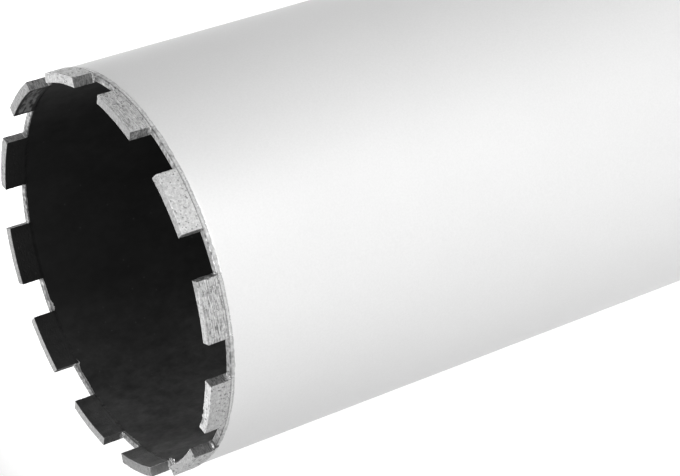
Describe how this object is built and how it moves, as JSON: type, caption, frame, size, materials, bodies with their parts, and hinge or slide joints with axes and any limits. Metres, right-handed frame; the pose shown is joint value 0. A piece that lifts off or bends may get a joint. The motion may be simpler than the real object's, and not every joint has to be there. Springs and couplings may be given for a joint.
{
  "type": "diamond core bit",
  "caption": "Thin-walled core bit with curved diamond segments brazed around its open rim and a threaded hub on its closed end, for cutting round holes in concrete and masonry.",
  "frame": {"origin": "centre of the hub's mounting face, at the bottom of the standing bit", "axes": "+Z along the bit's axis, from the hub to the crown of segments; +X through the middle of segment_01"},
  "size_m": [0.1524, 0.1524, 0.4883],
  "materials": {
    "lacquer": "satin silver lacquer, black paint inside the barrel",
    "hub_steel": "turned steel",
    "diamond_metal": "ground sintered metal with fine pits",
    "braze": "ground and bright"
  },
  "bodies": {
    "root": {"barrel": "lacquer", "back_plate": "lacquer", "rear_weld": "lacquer", "hub_weld": "lacquer", "hub": "hub_steel", "segment_01": "diamond_metal", "segment_02": "diamond_metal", "segment_03": "diamond_metal", "segment_04": "diamond_metal", "segment_05": "diamond_metal", "segment_06": "diamond_metal", "segment_07": "diamond_metal", "segment_08": "diamond_metal", "segment_09": "diamond_metal", "segment_10": "diamond_metal", "segment_11": "diamond_metal", "segment_12": "diamond_metal", "braze_01": "braze", "braze_02": "braze", "braze_03": "braze", "braze_04": "braze", "braze_05": "braze", "braze_06": "braze", "braze_07": "braze", "braze_08": "braze", "braze_09": "braze", "braze_10": "braze", "braze_11": "braze", "braze_12": "braze"}
  },
  "joints": []
}
